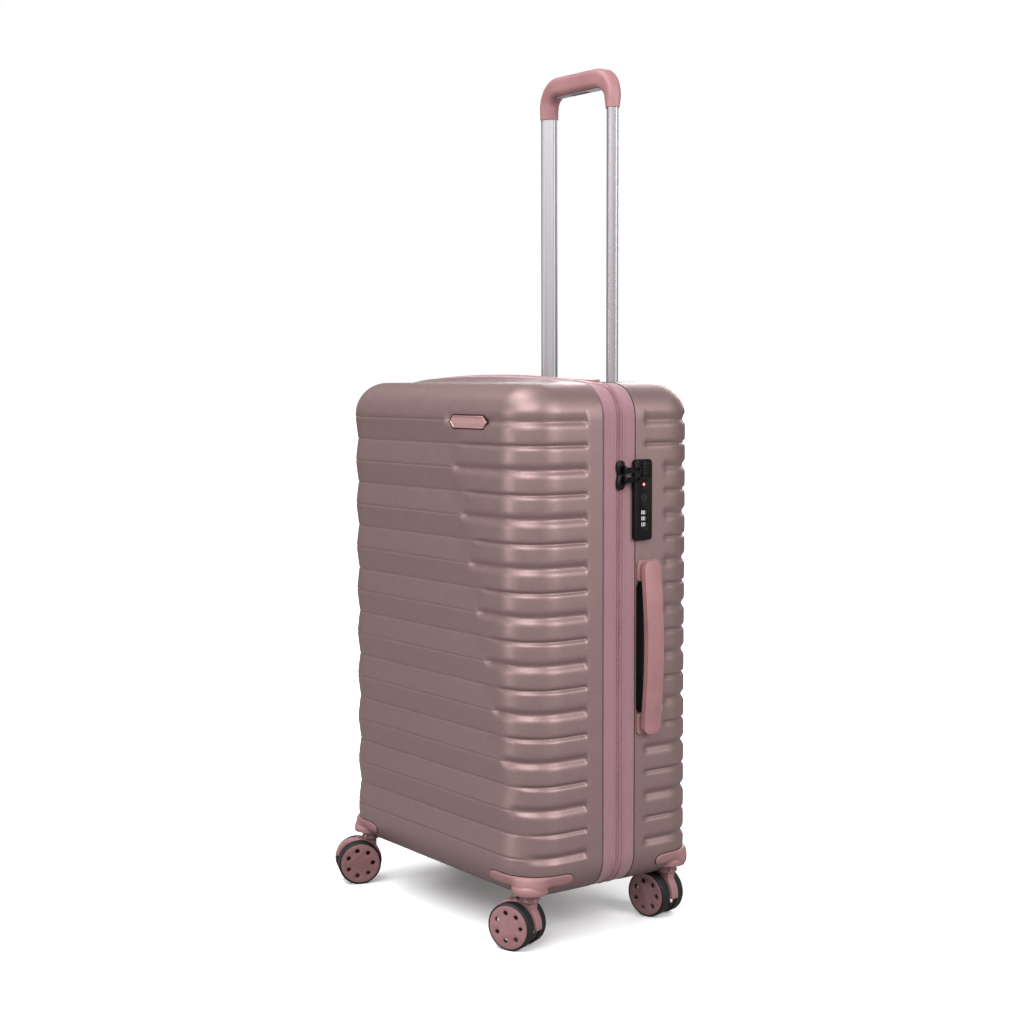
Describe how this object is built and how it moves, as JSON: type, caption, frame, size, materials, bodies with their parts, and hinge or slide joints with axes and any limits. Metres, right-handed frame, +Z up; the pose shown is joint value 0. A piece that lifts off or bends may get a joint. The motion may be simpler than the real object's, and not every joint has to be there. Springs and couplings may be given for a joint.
{
  "type": "hard shell suitcase",
  "caption": "Upright hard shell suitcase: ribbed half shells that open on a side hinge, zip band, pull-out handle, carry handles, side lock, swivelling twin wheels.",
  "frame": {"origin": "On the ground under the middle of the whole case with its wheels and handles", "axes": "+Z up, -Y is the front face, +X is the side with the lock and side handle, the pull handle is at the back"},
  "size_m": [0.4354, 0.2956, 1.066],
  "materials": {
    "shell": "satin metallic dusty rose",
    "lining": "woven lining",
    "band_cloth": "woven band",
    "tube": "anodised",
    "bezel": "moulded",
    "inner_plastic": "moulded",
    "guard": "moulded",
    "steel": "plain",
    "screw": "plated",
    "lock_black": "moulded",
    "lock_metal": "plain",
    "dial": "moulded",
    "mount_cup": "moulded",
    "strap": "elastic webbing",
    "badge": "bright",
    "mesh_panel": "mesh cloth",
    "zip_metal": "black lacquer",
    "pull_grip": "moulded",
    "grip_insert": "satin silver",
    "button": "moulded",
    "carry_grip": "moulded",
    "fork": "moulded",
    "wheel_centre": "moulded",
    "tyre": "rubber"
  },
  "bodies": {
    "back_half": {"back_shell": "shell", "back_lining": "lining", "back_gusset": "band_cloth", "hinge_tape": "band_cloth", "outer_tubes": "tube", "handle_bezel": "bezel", "tube_foot": "inner_plastic", "back_wheel_bases": "guard", "back_swivel_pins": "steel", "back_screws": "screw", "lock_case": "lock_black", "handle_mounts": "mount_cup", "packing_straps": "strap"},
    "front_half": {"front_shell": "shell", "front_lining": "lining", "front_gusset": "band_cloth", "badge_plate": "badge", "front_wheel_bases": "guard", "front_swivel_pins": "steel", "front_screws": "screw", "divider_panel": "mesh_panel"},
    "release_button": {"lock_release": "lock_black"},
    "key_barrel": {"lock_key_barrel": "lock_metal"},
    "dial_1": {"lock_dial_1": "dial"},
    "dial_2": {"lock_dial_2": "dial"},
    "dial_3": {"lock_dial_3": "dial"},
    "slider_upper": {"zip_slider_upper": "zip_metal"},
    "slider_lower": {"zip_slider_lower": "zip_metal"},
    "pull_upper": {"zip_pull_upper": "zip_metal"},
    "pull_lower": {"zip_pull_lower": "zip_metal"},
    "trolley": {"inner_tubes": "tube", "trolley_grip": "pull_grip", "grip_insert": "grip_insert"},
    "trolley_button": {"grip_button": "button"},
    "side_handle": {"side_handle_grip": "carry_grip"},
    "top_handle": {"top_handle_grip": "carry_grip"},
    "fr_swivel": {"fr_fork": "fork", "fr_axle": "steel"},
    "fr_wheel_a": {"fr_hub_a": "wheel_centre", "fr_tyre_a": "tyre"},
    "fr_wheel_b": {"fr_hub_b": "wheel_centre", "fr_tyre_b": "tyre"},
    "fl_swivel": {"fl_fork": "fork", "fl_axle": "steel"},
    "fl_wheel_a": {"fl_hub_a": "wheel_centre", "fl_tyre_a": "tyre"},
    "fl_wheel_b": {"fl_hub_b": "wheel_centre", "fl_tyre_b": "tyre"},
    "br_swivel": {"br_fork": "fork", "br_axle": "steel"},
    "br_wheel_a": {"br_hub_a": "wheel_centre", "br_tyre_a": "tyre"},
    "br_wheel_b": {"br_hub_b": "wheel_centre", "br_tyre_b": "tyre"},
    "bl_swivel": {"bl_fork": "fork", "bl_axle": "steel"},
    "bl_wheel_a": {"bl_hub_a": "wheel_centre", "bl_tyre_a": "tyre"},
    "bl_wheel_b": {"bl_hub_b": "wheel_centre", "bl_tyre_b": "tyre"}
  },
  "joints": [
    {"name": "case_open", "type": "hinge", "parent": "back_half", "child": "front_half", "pos_m": [-0.21057, 0.01535, 0.363], "axis": [0, 0, -1], "range_deg": [0, 180]},
    {"name": "pull_handle", "type": "slide", "parent": "back_half", "child": "trolley", "axis": [0, 0, 1], "range_m": [-0.395, 0]},
    {"name": "pull_button", "type": "slide", "parent": "trolley", "child": "trolley_button", "axis": [0, 0, 1], "range_m": [0, 0.0035], "stiffness_N_per_m": 900, "springref_m": -0.002},
    {"name": "side_handle", "type": "slide", "parent": "back_half", "child": "side_handle", "axis": [1, 0, 0], "range_m": [0, 0.011], "stiffness_N_per_m": 700, "springref_m": -0.006},
    {"name": "top_handle", "type": "slide", "parent": "back_half", "child": "top_handle", "axis": [0, 0, 1], "range_m": [0, 0.011], "stiffness_N_per_m": 700, "springref_m": -0.004},
    {"name": "lock_release", "type": "slide", "parent": "back_half", "child": "release_button", "axis": [-1, 0, 0], "range_m": [0, 0.0025], "stiffness_N_per_m": 500, "springref_m": -0.001},
    {"name": "lock_key", "type": "hinge", "parent": "back_half", "child": "key_barrel", "pos_m": [0.20363, 0.04835, 0.532], "axis": [1, 0, 0], "range_deg": [0, 90]},
    {"name": "slider_upper", "type": "slide", "parent": "back_half", "child": "slider_upper", "axis": [0, 0, 1], "range_m": [0, 0.05]},
    {"name": "slider_lower", "type": "slide", "parent": "back_half", "child": "slider_lower", "axis": [0, 0, -1], "range_m": [0, 0.07]},
    {"name": "pull_upper", "type": "hinge", "parent": "slider_upper", "child": "pull_upper", "pos_m": [0.21063, 0.01835, 0.5646], "axis": [0, 0, -1], "range_deg": [0, 110]},
    {"name": "pull_lower", "type": "hinge", "parent": "slider_lower", "child": "pull_lower", "pos_m": [0.21063, 0.01835, 0.553], "axis": [0, 0, -1], "range_deg": [0, 110]},
    {"name": "dial_1", "type": "hinge", "parent": "back_half", "child": "dial_1", "pos_m": [0.20323, 0.04835, 0.5135], "axis": [0, 0, 1], "continuous": true},
    {"name": "dial_2", "type": "hinge", "parent": "back_half", "child": "dial_2", "pos_m": [0.20323, 0.04835, 0.5063], "axis": [0, 0, 1], "continuous": true},
    {"name": "dial_3", "type": "hinge", "parent": "back_half", "child": "dial_3", "pos_m": [0.20323, 0.04835, 0.4991], "axis": [0, 0, 1], "continuous": true},
    {"name": "fr_swivel", "type": "hinge", "parent": "front_half", "child": "fr_swivel", "pos_m": [0.17663, -0.09765, 0.066], "axis": [0, 0, 1], "continuous": true},
    {"name": "fr_wheel_a", "type": "hinge", "parent": "fr_swivel", "child": "fr_wheel_a", "pos_m": [0.165, -0.11691, 0.0285], "axis": [-0.3746, 0.9272, 0], "continuous": true},
    {"name": "fr_wheel_b", "type": "hinge", "parent": "fr_swivel", "child": "fr_wheel_b", "pos_m": [0.15488, -0.09188, 0.0285], "axis": [-0.3746, 0.9272, 0], "continuous": true},
    {"name": "fl_swivel", "type": "hinge", "parent": "front_half", "child": "fl_swivel", "pos_m": [-0.18137, -0.09765, 0.066], "axis": [0, 0, 1], "continuous": true},
    {"name": "fl_wheel_a", "type": "hinge", "parent": "fl_swivel", "child": "fl_wheel_a", "pos_m": [-0.17598, -0.1195, 0.0285], "axis": [-0.9205, 0.3907, 0], "continuous": true},
    {"name": "fl_wheel_b", "type": "hinge", "parent": "fl_swivel", "child": "fl_wheel_b", "pos_m": [-0.20083, -0.10895, 0.0285], "axis": [-0.9205, 0.3907, 0], "continuous": true},
    {"name": "br_swivel", "type": "hinge", "parent": "back_half", "child": "br_swivel", "pos_m": [0.17663, 0.11635, 0.066], "axis": [0, 0, 1], "continuous": true},
    {"name": "br_wheel_a", "type": "hinge", "parent": "br_swivel", "child": "br_wheel_a", "pos_m": [0.16153, 0.09966, 0.0285], "axis": [-0.1908, 0.9816, 0], "continuous": true},
    {"name": "br_wheel_b", "type": "hinge", "parent": "br_swivel", "child": "br_wheel_b", "pos_m": [0.15638, 0.12616, 0.0285], "axis": [-0.1908, 0.9816, 0], "continuous": true},
    {"name": "bl_swivel", "type": "hinge", "parent": "back_half", "child": "bl_swivel", "pos_m": [-0.18137, 0.11635, 0.066], "axis": [0, 0, 1], "continuous": true},
    {"name": "bl_wheel_a", "type": "hinge", "parent": "bl_swivel", "child": "bl_wheel_a", "pos_m": [-0.17484, 0.09481, 0.0285], "axis": [-0.9397, 0.342, 0], "continuous": true},
    {"name": "bl_wheel_b", "type": "hinge", "parent": "bl_swivel", "child": "bl_wheel_b", "pos_m": [-0.20022, 0.10405, 0.0285], "axis": [-0.9397, 0.342, 0], "continuous": true}
  ]
}
